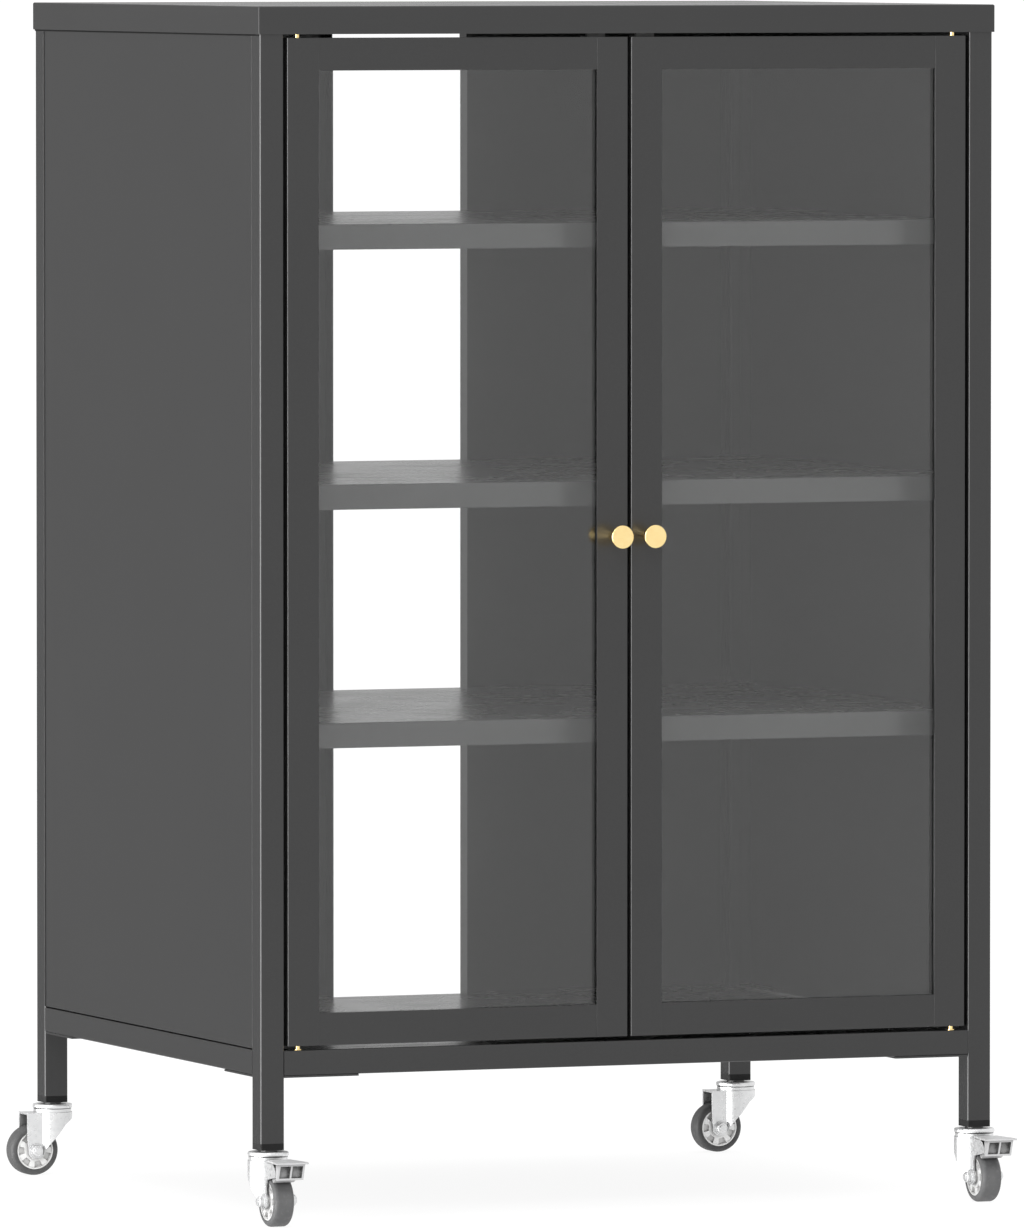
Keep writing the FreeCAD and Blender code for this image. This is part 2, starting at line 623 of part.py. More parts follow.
def knob_screw(name, side):
    made = body(name + "_knob_screw")
    at = (sign(side, KNOB_X), "dim.knob_up")
    rod(made, name + "_knob_screw_shank", "dim.screw_radius", at,
        (less(DOOR_FRONT, "dim.knob_tapped - dim.past"), DOOR_BACK), "y")
    rod(made, name + "_knob_screw_head", "dim.screw_head", at,
        (DOOR_BACK, more(DOOR_BACK, "dim.screw_head_high")), "y")


def strike_plate(name, side):
    made = body(name + "_strike_plate")
    box(made, name + "_strike", span(side, "dim.catch_at - dim.catch_wide / 2 - dim.past",
                                     "dim.catch_at + dim.catch_wide / 2 + dim.past"),
        (DOOR_BACK, more(DOOR_BACK, "dim.strike_thick")),
        (less(DOOR_TOP, "dim.strike_low"), less(DOOR_TOP, "dim.strike_high")))


# ---------------------------------------------------------------- casters
# A caster is drawn with its stem at the origin and its wheel trailing along +X, and then
# turned: the front pair trail to the front of the cabinet, the rear pair to its left.

CASTER_TURN = {"front": Rotation(Vector(0, 0, 1), -90), "rear": Rotation(Vector(0, 0, 1), 180)}


NUT_END = "(dim.axle_end - dim.past)"


def caster_place(corner):
    side, end = CORNERS[corner]
    return (sign(side, POST_X), sign(end, POST_Y), "0"), CASTER_TURN[corner.split("_")[0]]


def caster_stems():
    """The stem with its hexagon and upper race, and the kingpin riveted under the fork."""
    stems = []
    for corner in CORNERS:
        made = body("stem_" + corner, *caster_place(corner), sub_part=False)
        axis = ("0", "0")
        rod(made, f"stem_{corner}_cup", "dim.cup_radius", axis, ("dim.cup_low", "dim.cup_high"))
        ease(made, f"stem_{corner}_cup_edge", "dim.cup_round", lambda edge: len(edge.Vertexes) == 1)
        rod(made, f"stem_{corner}_collar", "dim.collar", axis, ("dim.cup_high", "dim.plug_low"))
        rod(made, f"stem_{corner}_shank", "dim.stem_radius", axis,
            ("dim.plug_low", "dim.stem_high"))
        under = "(dim.fork_top - dim.fork_plate - dim.race_gap)"
        rod(made, f"stem_{corner}_kingpin", "dim.kingpin", axis,
            (less(under, "dim.past"), "dim.cup_low"))
        rod(made, f"stem_{corner}_rivet", "dim.kingpin_head", axis,
            (less(under, "dim.kingpin_head_high"), under))
        stems.append(made)
    group("caster_stems", stems)


def caster_fork(corner, braked):
    """Sheet pressed into a half-round nose round the kingpin and two cheeks down to the axle.
    A braked fork has ears that reach forward of the top plate, one each side of the pedal."""
    made = body(corner + "_caster_fork", *caster_place(corner))
    reach = "dim.ear_end" if braked else "dim.fork_end"
    low = "(dim.wheel_radius - dim.axle_boss)"
    outside = both("dim.fork_half")
    box(made, corner + "_fork_blank", ("0", reach), outside, (low, "dim.fork_top"))
    rod(made, corner + "_fork_nose", "dim.nose_radius", ("0", "0"), (low, "dim.fork_top"))
    past = "(dim.nose_radius + dim.past)"
    nose_side = [(f"-{past}", less(low, "dim.past")), (f"-{past}", "dim.nose_low"),
                 ("-dim.nose_radius", "dim.nose_low"), ("-dim.nose_knee_in", "dim.nose_knee"),
                 ("dim.trail - dim.axle_boss - dim.cheek_lead", "dim.cheek_front"),
                 ("dim.trail - dim.axle_boss + dim.cheek_lag", less(low, "dim.past"))]
    sketch = outline(made, corner + "_nose_line", "XZ_Plane", nose_side)
    sweep(made, corner + "_nose_cut", sketch, "4 * dim.nose_radius", cut=True)
    leg = "(dim.trail + dim.axle_boss)"
    if braked:
        notch = "dim.trail + dim.notch_in"
        wheel_side = [(leg, less(low, "dim.past")), (leg, "dim.cheek_rear"),
        (notch, "dim.notch_low"),
                      (notch, "dim.notch_high"), (leg, "dim.ear_rear"),
                      ("dim.ear_end + dim.past", "dim.ear_low"),
                      ("dim.ear_end + dim.past", less(low, "dim.past"))]
    else:
        wheel_side = [(leg, less(low, "dim.past")), (leg, "dim.cheek_rear"),
        (reach, "dim.cheek_end"),
                      (more(reach, "dim.past"), "dim.cheek_end"),
                      (more(reach, "dim.past"), less(low, "dim.past"))]
    sketch = outline(made, corner + "_wheel_line", "XZ_Plane", wheel_side)
    sweep(made, corner + "_wheel_cut", sketch, "4 * dim.nose_radius", cut=True)
    bottom = value(low)
    ease(made, corner + "_axle_end", "dim.axle_boss - dim.foot_flat", lambda edge: (
        runs_along("y")(edge) and abs(edge.CenterOfMass.z - bottom) < 0.01))
    if braked:
        ease(made, corner + "_ear_ends", "dim.ear_round", lambda edge: (
            runs_along("y")(edge) and edge.CenterOfMass.x > value("dim.ear_end") - 0.1
            and edge.CenterOfMass.z > value("dim.fork_top") - 0.1))
        ease(made, corner + "_ear_chins", "dim.chin_round", lambda edge: (
            runs_along("y")(edge) and edge.CenterOfMass.x > value("dim.ear_end") - 0.1
            and edge.CenterOfMass.z < value("dim.ear_low + dim.past")))
    inner = less("dim.fork_half", "dim.fork_plate")
    box(made, corner + "_fork_hollow", ("0", "dim.ear_end + 2 * dim.past"), both(inner),
        ("0", less("dim.fork_top", "dim.fork_plate")), cut=True)
    rod(made, corner + "_nose_hollow", less("dim.nose_radius", "dim.fork_plate"), ("0", "0"),
        ("0", less("dim.fork_top", "dim.fork_plate")), cut=True)
    if braked:
        box(made, corner + "_pedal_gap", ("dim.fork_end", "dim.ear_end + 2 * dim.past"),
            both(inner),
            ("0", "dim.fork_top + dim.past"), cut=True)
        rod(made, corner + "_brake_pivot_hole", "(dim.brake_pin + dim.running)",
            ("dim.brake_out", "dim.brake_up"),
            both("dim.fork_half + dim.past"), "y", cut=True)
    rod(made, corner + "_lower_race", "dim.race_radius", ("0", "0"),
        ("dim.fork_top", "dim.race_top"))
    rod(made, corner + "_kingpin_hole", "(dim.kingpin + dim.running)", ("0", "0"),
        ("dim.fork_top - 2 * dim.fork_plate", "dim.race_top + dim.past"), cut=True)
    rod(made, corner + "_axle_hole", "(dim.axle_radius + dim.press)",
        ("dim.trail", "dim.wheel_radius"),
        both("dim.fork_half + dim.past"), "y", cut=True)


def caster_axle(corner):
    made = body(corner + "_caster_axle", *caster_place(corner))
    at = ("dim.trail", "dim.wheel_radius")
    rod(made, corner + "_axle_pin", "dim.axle_radius", at, both("dim.axle_end"), "y")
    for word, side in SIDES.items():
        rod(made, f"{corner}_axle_nut_{word}", "dim.axle_head", at,
            span(side, "dim.fork_half", NUT_END), "y")
        washer = more("dim.fork_half", "dim.washer_thick")
        rod(made, f"{corner}_axle_washer_{word}", "(dim.axle_head + dim.washer_wide)", at,
            span(side, "dim.fork_half", washer), "y")
    ease(made, corner + "_axle_nut_edges", "dim.nut_round", lambda edge: (
        len(edge.Vertexes) == 1 and abs(abs(edge.CenterOfMass.y) - value(NUT_END)) < 0.01
        and edge.Curve.Radius > value("dim.axle_radius") + 0.1))


def wheel_place(corner):
    """The wheel is turned about its own +Z, laid along the axle; its centre is on the axle."""
    (across, along, _), turn = caster_place(corner)
    lie = turn.multiply(Rotation(Vector(1, 0, 0), -90))
    if corner.startswith("front"):
        return (across, less(along, "dim.trail"), "dim.wheel_radius"), lie
    return (less(across, "dim.trail"), along, "dim.wheel_radius"), lie


def caster_tyre(corner):
    made = body(corner + "_caster_tyre", *wheel_place(corner))
    ends = both("dim.tyre_wide / 2")
    rod(made, corner + "_tyre_outside", "dim.wheel_radius", ("0", "0"), ends)
    ease(made, corner + "_tyre_shoulders", "dim.tyre_round", lambda edge: len(edge.Vertexes) == 1)
    rod(made, corner + "_tyre_bore", "(dim.rim_radius + dim.press)", ("0", "0"),
        both("dim.tyre_wide / 2 + dim.past"), cut=True)


def caster_rim(corner):
    """A moulded rim: outer band, dished faces with seven pockets each, and a hub."""
    made = body(corner + "_caster_rim", *wheel_place(corner))
    centre = ("0", "0")
    rod(made, corner + "_rim_band", "dim.rim_radius", centre, both("dim.rim_wide / 2"))
    ease(made, corner + "_rim_edge", "dim.rim_round", lambda edge: len(edge.Vertexes) == 1)
    for word, side in SIDES.items():
        dish = span(side, "dim.rim_wide / 2 - dim.rim_dish", "dim.rim_wide / 2 + dim.past")
        rod(made, f"{corner}_rim_dish_{word}", "dim.rim_radius - dim.rim_edge", centre, dish,
            cut=True)
    rod(made, corner + "_rim_hub", "dim.rim_hub", centre, both("dim.tyre_wide / 2"))
    pocket = [("dim.pocket_in", "-dim.pocket_in_half"), ("dim.pocket_out", "-dim.pocket_out_half"),
              ("dim.pocket_out", "dim.pocket_out_half"), ("dim.pocket_in", "dim.pocket_in_half")]
    sketch = outline(made, corner + "_pocket_outline", "XY_Plane", pocket)
    through = sweep(made, corner + "_pocket", sketch, "2 * dim.rim_wide", cut=True)
    doc.recompute()
    ring = made.newObject("PartDesign::PolarPattern", corner + "_pockets")
    ring.Originals = [through]
    ring.Axis = (next(item for item in made.Origin.OriginFeatures if item.Role == "Z_Axis"), [""])
    ring.Angle = 360
    ring.Occurrences = 7
    made.Tip = ring
    rod(made, corner + "_rim_web", "(dim.rim_radius - dim.rim_edge / 2)", centre,
        both("dim.rim_web"))
    rod(made, corner + "_rim_bore", "(dim.axle_radius + dim.running)", centre, both("dim.rim_wide"),
        cut=True)


def brake_lever(corner):
    """A foot pedal with two pockets in its front, pivoted between the ears of the fork, and a
    shoe that comes down on the tyre."""
    made = body(corner + "_brake_lever", *caster_place(corner))
    high = "dim.plate_low"
    block = [("dim.pedal_rear", "dim.pedal_low"), ("dim.pedal_foot", "dim.pedal_low"),
             ("dim.pedal_front", high), ("dim.pedal_rear", high)]
    sketch = outline(made, corner + "_pedal_outline", "XZ_Plane", block)
    sweep(made, corner + "_pedal_block", sketch, "2 * dim.pedal_half")
    for word, side in SIDES.items():
        box(made, f"{corner}_pedal_pocket_{word}",
            ("dim.pedal_rear + dim.pedal_wall", "dim.pedal_front + dim.past"),
            span(side, "dim.pedal_wall / 2", "dim.pedal_half - dim.pedal_wall"),
            ("dim.pedal_low + dim.pedal_wall", less(high, "dim.pedal_wall")), cut=True)
    under = "(dim.brake_up - dim.arm_deep)"
    arm_half = "(dim.fork_half - dim.fork_plate - dim.arm_play)"
    box(made, corner + "_pedal_arm", ("dim.brake_out - dim.arm_rear", "dim.pedal_rear"),
        both(arm_half),
        (under, high))
    shoe = [("dim.brake_out - dim.arm_rear", under),
            ("dim.brake_out - dim.arm_deep", "dim.brake_up - dim.shoe_bend"),
            ("dim.brake_out - dim.shoe_toe", "dim.brake_up - dim.shoe_low"),
            ("dim.brake_out + dim.shoe_heel", "dim.brake_up - dim.shoe_bend"),
            ("dim.pedal_rear", under)]
    sketch = outline(made, corner + "_shoe_outline", "XZ_Plane", shoe)
    sweep(made, corner + "_shoe", sketch, f"2 * {arm_half}")
    plate = [("dim.plate_back", "-dim.plate_back_half"), ("dim.pedal_rear", "-dim.plate_half"),
             ("dim.plate_front", "-dim.plate_half"), ("dim.plate_front", "dim.plate_half"),
             ("dim.pedal_rear", "dim.plate_half"), ("dim.plate_back", "dim.plate_back_half")]
    sketch = outline(made, corner + "_plate_outline", "XY_Plane", plate)
    sweep(made, corner + "_plate", sketch, "dim.plate_thick", lift=high)
    rod(made, corner + "_brake_pivot", "dim.brake_pin", ("dim.brake_out", "dim.brake_up"),
        both("dim.fork_half"), "y")


# ---------------------------------------------------------------- build and write

def build():
    top_cover()
    posts()
    bottom_rails()
    top_rails()
    side_panels()
    back_panels()
    bottom_panel()
    shelves()
    shelf_rails()
    shelf_screws()
    corner_gussets()
    leg_plugs()
    hinge_bushes()
    magnet_catches()
    cap_screws()
    caster_stems()
    for name, side in SIDES.items():
        door_frame(name, side)
        door_plugs(name, side)
        hinge_pins(name, side)
        door_glass(name, side)
        glass_gasket(name, side)
        knob(name, side)
        knob_screw(name, side)
        strike_plate(name, side)
    for corner in CORNERS:
        braked = corner.startswith("front")
        caster_fork(corner, braked)
        caster_axle(corner)
        caster_rim(corner)
        caster_tyre(corner)
        if braked:
            brake_lever(corner)


def write():
    failed = [item.Name for item in doc.Objects if {"Invalid", "Error"} & set(item.State)]
    if failed:
        raise RuntimeError(f"these did not build: {failed}")
    for made in nodes:
        if made.Shape.isNull() or not made.Shape.isValid() or not made.Shape.Solids:
            raise RuntimeError(f"{made.Label} is not a valid solid")
    for made in nodes:
        made.Shape.exportStep(f"parts/{made.Label}.step")
    print(len(nodes), "sub-parts written")


build()
doc.recompute()
write()
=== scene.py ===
"""Looks for the rolling media cabinet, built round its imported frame: finishes, small made pieces,
a pale floor, soft light and the camera. Everything is in metres, +X right, +Y back, +Z up."""

import bmesh
import bpy
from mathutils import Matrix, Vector


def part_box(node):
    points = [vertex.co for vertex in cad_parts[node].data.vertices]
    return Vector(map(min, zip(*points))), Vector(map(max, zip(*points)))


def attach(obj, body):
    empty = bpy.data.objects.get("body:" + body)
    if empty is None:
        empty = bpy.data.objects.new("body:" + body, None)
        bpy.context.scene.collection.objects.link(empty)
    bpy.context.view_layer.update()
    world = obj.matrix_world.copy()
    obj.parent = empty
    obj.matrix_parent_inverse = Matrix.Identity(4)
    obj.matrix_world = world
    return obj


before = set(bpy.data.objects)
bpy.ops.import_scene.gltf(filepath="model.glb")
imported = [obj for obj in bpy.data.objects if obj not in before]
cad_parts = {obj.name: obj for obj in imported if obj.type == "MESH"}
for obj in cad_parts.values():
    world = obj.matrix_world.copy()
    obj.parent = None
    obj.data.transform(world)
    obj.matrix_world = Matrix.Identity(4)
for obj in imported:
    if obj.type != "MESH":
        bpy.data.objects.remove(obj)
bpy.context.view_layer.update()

MM = 0.001
WHITE = (1.0, 1.0, 1.0)
FULL = (0, 1)
NOISE_BAND = (0.3, 0.7)  # where most values of a noise lie

BEVEL_SAMPLES = 4
SHUT_IN_SAMPLES = 16
EDGE_TURN = (0.02, 0.25)  # 1 - cos of the turn at which an edge starts to count, and counts fully
LEVEL_FACE = (0.75, 0.98)  # upward part of the normal at which dust starts to lie, and lies fully


# ---------------------------------------------------------------- node building blocks

def opaque(value):
    """A colour with its alpha added; a socket or a number as it is."""
    return (*value, 1) if isinstance(value, tuple) else value


class Nodes:
    """Fills one node tree. Each method adds nodes and returns the socket to use."""

    def __init__(self, owner):
        owner.use_nodes = True
        self.tree = owner.node_tree
        self.tree.nodes.clear()

    def node(self, kind, inputs=None, **settings):
        made = self.tree.nodes.new(kind)
        for name, value in settings.items():
            setattr(made, name, value)
        for key, value in (inputs or {}).items():
            if isinstance(value, bpy.types.NodeSocket):
                self.tree.links.new(value, made.inputs[key])
            else:
                made.inputs[key].default_value = value
        return made

    def spread(self, socket, band, onto):
        """Maps the values of a socket within band onto another, and holds them there outside."""
        return self.node("ShaderNodeMapRange", {
            "Value": socket, "From Min": band[0], "From Max": band[1],
            "To Min": onto[0], "To Max": onto[1]}, clamp=True).outputs[0]

    def maths(self, operation, first, second, **settings):
        return self.node("ShaderNodeMath", {0: first, 1: second}, operation=operation,
                         **settings).outputs[0]

    def times(self, first, second):
        return self.maths("MULTIPLY", first, second)

    def agreement(self, first, second):
        """1 where two directions are the same, 0 where they are square to each other."""
        return self.node("ShaderNodeVectorMath", {0: first, 1: second},
                         operation="DOT_PRODUCT").outputs["Value"]


class Finish(Nodes):
    """A material under construction."""

    def __init__(self, name):
        self.material = bpy.data.materials.new(name)
        super().__init__(self.material)
        self.output = self.node("ShaderNodeOutputMaterial")
        self.place = self.node("ShaderNodeTexCoord").outputs["Object"]

    def stretched(self, scale):
        """The place on the object with each axis scaled on its own."""
        return self.node("ShaderNodeVectorMath", {0: self.place, 1: scale},
                         operation="MULTIPLY").outputs[0]

    def noise(self, scale, detail=3, roughness=0.55, distortion=0, place=None):
        return self.node("ShaderNodeTexNoise", {
            "Vector": place or self.place, "Scale": scale, "Detail": detail,
            "Roughness": roughness, "Distortion": distortion}).outputs["Fac"]

    def noise_over(self, onto, **settings):
        """A noise whose usual band is spread over another."""
        return self.spread(self.noise(**settings), NOISE_BAND, onto)

    def cells(self, scale):
        return self.node("ShaderNodeTexVoronoi",
                         {"Vector": self.place, "Scale": scale}).outputs["Distance"]

    def tint(self, factor, low, high):
        """A colour between low and high; either may be a socket."""
        return self.node("ShaderNodeMix", {0: factor, 6: opaque(low), 7: opaque(high)},
                         data_type="RGBA").outputs[2]

    def true_normal(self):
        return self.node("ShaderNodeNewGeometry").outputs["Normal"]

    def rounded(self, radius):
        """The normal that edges rounded to radius would have."""
        return self.node("ShaderNodeBevel", {"Radius": radius}, samples=BEVEL_SAMPLES).outputs[0]

    def edges(self, radius):
        """0 on flats, 1 where the surface turns within radius: thin edges, for wear and for painted
        edge highlights.
        """
        straight = self.agreement(self.rounded(radius), self.true_normal())
        return self.spread(self.maths("SUBTRACT", 1.0, straight), EDGE_TURN, onto=FULL)

    def upward(self):
        """1 on faces that look up, where dust settles."""
        split = self.node("ShaderNodeSeparateXYZ", {0: self.true_normal()}).outputs["Z"]
        return self.spread(split, LEVEL_FACE, onto=FULL)

    def shut_in(self, reach, open_part=0.85, shut_part=0.3):
        """0 where other surfaces within reach let open_part of the light through or more, 1 where
        they let through shut_part or less."""
        free = self.node("ShaderNodeAmbientOcclusion", {"Distance": reach},
                         samples=SHUT_IN_SAMPLES).outputs["AO"]
        return self.spread(free, (shut_part, open_part), onto=(1, 0))

    def bumps(self, round_edges, *layers):
        """Rounds the edges, then stacks (height socket, strength, depth) on, into one normal."""
        normal = self.rounded(round_edges)
        for height, strength, depth in layers:
            normal = self.node("ShaderNodeBump", {
                "Height": height, "Strength": strength, "Distance": depth,
                "Normal": normal}).outputs[0]
        return normal

    def surface(self, **sockets):
        """A Principled shader whose socket names are given with _ for each space."""
        return self.node("ShaderNodeBsdfPrincipled", {
            name.replace("_", " "): opaque(value) for name, value in sockets.items()}).outputs[0]

    def done(self, shader):
        self.tree.links.new(shader, self.output.inputs["Surface"])
        return self.material


# ---------------------------------------------------------------- finishes

def powder_coat(name, level, peel=0.035):
    """Dark grey semi-gloss powder coat on steel: orange peel, faint mottling, paler thin edges
    that are wear with a painted highlight, and a little dust on top faces. level is its lightness,
    peel the strength of its bumps."""
    pale = 1.1 * level
    fleck, wear_and_highlight_tone, dust_grey = (0.04, 0.04, 0.0404), (0.085, 0.085, 0.087), (0.12, 0.118, 0.113)
    edge_share, dust_share, dust_dulls = 0.25, 0.16, 0.5
    made = Finish(name)
    mottle = made.noise_over(FULL, scale=9, detail=4, roughness=0.6)
    base = made.tint(mottle, (level, level, 1.01 * level), (pale, pale, 1.11 * level))
    flecks = made.spread(made.noise(scale=1900, detail=2), (0.35, 0.75), onto=(0, 0.25))
    base = made.tint(flecks, base, fleck)
    # Paler thin edges: partly wear, partly a painted highlight along every edge.
    edge_patches = made.spread(made.noise(scale=60), (0.4, 0.7), onto=(0.2, 1))
    edge_mark = made.times(made.edges(1.1 * MM), edge_patches)
    base = made.tint(made.times(edge_mark, edge_share), base, wear_and_highlight_tone)
    settled = made.spread(made.noise(scale=22), (0.4, 0.8), onto=(0, dust_share))
    dust = made.times(made.upward(), settled)
    base = made.tint(dust, base, dust_grey)
    gloss = made.noise_over((0.235, 0.255), scale=14, detail=5, roughness=0.65)
    rough = made.maths("ADD", gloss, made.times(dust, dust_dulls))
    orange = made.noise(scale=620, detail=2, roughness=0.4)
    fine = made.noise(scale=2600, detail=2, roughness=0.5)
    normal = made.bumps(0.2 * MM, (orange, peel, 0.1 * MM), (fine, peel, 0.03 * MM))
    return made.done(made.surface(Base_Color=base, Roughness=rough, Normal=normal, IOR=1.5,
                                  Specular_IOR_Level=0.5))


def brass():
    """Polished turned brass with fine lathe rings about the knob axis and a soft patina."""
    bright, dulled = (0.98, 0.76, 0.37), (0.93, 0.69, 0.31)
    ring_scale, ring_strength = (2400, 300, 2400), 0.08
    made = Finish("turned_brass")
    patina = made.spread(made.noise(scale=130, detail=4, roughness=0.6), (0.3, 0.75), onto=FULL)
    turned = made.noise(scale=1, detail=2, roughness=0.6, place=made.stretched(ring_scale))
    return made.done(made.surface(Base_Color=made.tint(patina, bright, dulled), Metallic=1.0,
                                  Roughness=made.noise_over((0.13, 0.24), scale=420),
                                  Normal=made.bumps(0.3 * MM, (turned, ring_strength, 0.03 * MM))))


def glass():
    """Clear float glass with the faintest grey tint and wiping marks. Lamps shine through it."""
    body, cast = (0.97, 0.975, 0.973), (0.87, 0.88, 0.875)
    wipe_scale = (9, 9, 3.5)
    made = Finish("door_glass")
    wiped = made.noise(scale=1, detail=5, roughness=0.6, distortion=0.8,
                       place=made.stretched(wipe_scale))
    pane = made.surface(Base_Color=body, Transmission_Weight=1.0, IOR=1.5,
                        Roughness=made.spread(wiped, (0.45, 0.85), onto=(0.0, 0.02)))
    through = made.node("ShaderNodeBsdfTransparent", {"Color": opaque(cast)}).outputs[0]
    lamps = made.node("ShaderNodeLightPath").outputs["Is Shadow Ray"]
    return made.done(made.node("ShaderNodeMixShader", {0: lamps, 1: pane, 2: through}).outputs[0])


def rubber(name, low, high, roughness=(0.55, 0.72), dusty=0.25, shine=0.5):
    """Rubber with a grain, scuffs between the tones low and high, and dust in the grain."""
    dust_grey = tuple(min(1, 2.2 * part + 0.03) for part in high)
    grain_strength = 0.25
    made = Finish(name)
    scuffs = made.spread(made.noise(scale=90, detail=5, roughness=0.65), (0.35, 0.7), onto=FULL)
    dust = made.spread(made.noise(scale=320), (0.55, 0.8), onto=(0, dusty))
    base = made.tint(dust, made.tint(scuffs, low, high), dust_grey)
    normal = made.bumps(0.4 * MM, (made.noise(scale=900), grain_strength, 0.08 * MM))
    return made.done(made.surface(Base_Color=base, Roughness=made.noise_over(roughness, scale=210),
                                  Normal=normal, IOR=1.52, Specular_IOR_Level=shine))


def plated_steel(name, low, high, roughness, metal=1.0, grain=0.15, soil_and_shade_share=0.3):
    """Zinc plate: soft spangle in colour and gloss, fine grain, darker edges from wear, and a
    near-black tint where it is shut in: painted shade, with some soil and oil."""
    clouded, edge_mark = tuple(0.92 * part for part in low), tuple(0.6 * part for part in low)
    shade_and_oil_tone = (0.03, 0.03, 0.029)
    cloud_share, edge_share, spangle_gloss = 0.35, 0.3, 0.25
    made = Finish(name)
    spangle = made.cells(scale=260)
    cloud = made.noise(scale=70, detail=4, roughness=0.6)
    base = made.tint(made.spread(spangle, (0.1, 0.7), onto=FULL), low, high)
    base = made.tint(made.spread(cloud, (0.35, 0.7), onto=(0, cloud_share)), base, clouded)
    base = made.tint(made.times(made.edges(0.4 * MM), edge_share), base, edge_mark)
    # Near-black tint where other surfaces shut the light out: painted shade, with some soil and
    # oil.
    shut = made.shut_in(18 * MM, open_part=0.65, shut_part=0.25)
    base = made.tint(made.times(shut, soil_and_shade_share), base, shade_and_oil_tone)
    uneven = made.maths("ADD", cloud, made.times(spangle, spangle_gloss))
    rough = made.spread(uneven, (0.35, 0.85), onto=roughness)
    normal = made.bumps(0.3 * MM, (made.noise(scale=1400), grain, 0.03 * MM),
                        (cloud, grain, 0.05 * MM))
    return made.done(made.surface(Base_Color=base, Metallic=metal, Roughness=rough, Normal=normal))


def brushed_steel():
    """Steel brushed from side to side."""
    dark, light = (0.42, 0.42, 0.43), (0.6, 0.6, 0.61)
    line_scale, line_strength = (60, 400, 2600), 0.2
    made = Finish("brushed_strike")
    lines = made.noise(scale=1, detail=4, roughness=0.7, place=made.stretched(line_scale))
    base = made.tint(made.spread(lines, NOISE_BAND, onto=FULL), dark, light)
    rough = made.spread(lines, NOISE_BAND, onto=(0.28, 0.42))
    normal = made.bumps(0.3 * MM, (lines, line_strength, 0.03 * MM))
    return made.done(made.surface(Base_Color=base, Metallic=1.0, Normal=normal, Anisotropic=0.6,
                                  Roughness=rough))


def nylon(name, low, high, roughness=(0.34, 0.48), soil_and_shade_tone=(0.2, 0.19, 0.18), soil_and_shade_share=0.55, shine=0.5,
          reach=4 * MM, open_part=0.85, shut_part=0.3):
    """Moulded nylon: a spark-eroded grain, faint flow marks, and soil and painted shade in the
    recesses.
    """
    grain_strength = 0.2
    made = Finish(name)
    flow = made.noise_over(FULL, scale=55, detail=4, roughness=0.6, distortion=0.7)
    patchy = made.noise_over((0.7, 1), scale=380, detail=4)
    shut = made.shut_in(reach, open_part, shut_part)
    # Tint where the recesses shut the light out: painted shade where the tone is darker than the
    # nylon, soil where it is lighter.
    soil_and_shade_mask = made.times(made.times(shut, soil_and_shade_share), patchy)
    base = made.tint(soil_and_shade_mask, made.tint(flow, low, high), soil_and_shade_tone)
    grain = made.noise(scale=1500, detail=2)
    normal = made.bumps(0.35 * MM, (grain, grain_strength, 0.05 * MM))
    return made.done(made.surface(Base_Color=base, Roughness=made.noise_over(roughness, scale=260),
                                  Normal=normal, IOR=1.53, Specular_IOR_Level=shine))


PAINT_LEVEL = 0.0165
# Lighter level for the shelves: painted light, for the light the glass lets onto their edges.
SHELF_LIT_LEVEL = 0.047
SMOOTH_PEEL = 0.008

FINISHES = {
    "frame_paint": powder_coat("powder_coat", PAINT_LEVEL),
    "brass": brass(),
    "clear_glass": glass(),
    "gasket_rubber": rubber("glazing_rubber", low=(0.011, 0.011, 0.011),
                            high=(0.018, 0.018, 0.018)),
    "plug_plastic": nylon("black_nylon", low=(0.004, 0.004, 0.004), high=(0.006, 0.006, 0.006),
                          roughness=(0.6, 0.75), soil_and_shade_tone=(0.012, 0.012, 0.011), shine=0.25),
    "screw_steel": plated_steel("screw_zinc", low=(0.52, 0.52, 0.53), high=(0.64, 0.64, 0.65),
                                roughness=(0.24, 0.4)),
    "strike_steel": brushed_steel(),
    # Near black where shut in: painted shade, with some soil.
    "zinc_steel": plated_steel("bright_zinc", low=(0.69, 0.695, 0.7), high=(0.76, 0.762, 0.765),
                               roughness=(0.24, 0.32), metal=0.5, grain=0.03, soil_and_shade_share=0.95),
    # Greyer pockets: painted shade, with some soil.
    "rim_plastic": nylon("rim_nylon", low=(0.84, 0.84, 0.84), high=(0.88, 0.88, 0.87),
                         soil_and_shade_tone=(0.3, 0.295, 0.29), soil_and_shade_share=0.75, open_part=0.9),
    "tyre_rubber": rubber("tyre_rubber", low=(0.085, 0.085, 0.087), high=(0.11, 0.11, 0.111)),
    # Pockets darkened towards black: painted shade.
    "pedal_plastic": nylon("pedal_nylon", low=(0.5, 0.5, 0.505), high=(0.57, 0.57, 0.575),
                           soil_and_shade_tone=(0.03, 0.03, 0.029), soil_and_shade_share=1.0, reach=14 * MM, open_part=0.95,
                           shut_part=0.45),
}
# The frame's coat made lighter for the shelves: painted light.
SHELF_LIT_COAT = powder_coat("painted_light_shelf_coat", SHELF_LIT_LEVEL, SMOOTH_PEEL)
CAP_PAINT = powder_coat("cap_powder_coat", PAINT_LEVEL, SMOOTH_PEEL)
# Near-black finish of the strip under the cap: painted shade.
SHADE_STRIP = rubber("seal_rubber", low=(0.004, 0.004, 0.004), high=(0.006, 0.006, 0.006),
              roughness=(0.75, 0.9), dusty=0.04, shine=0.1)

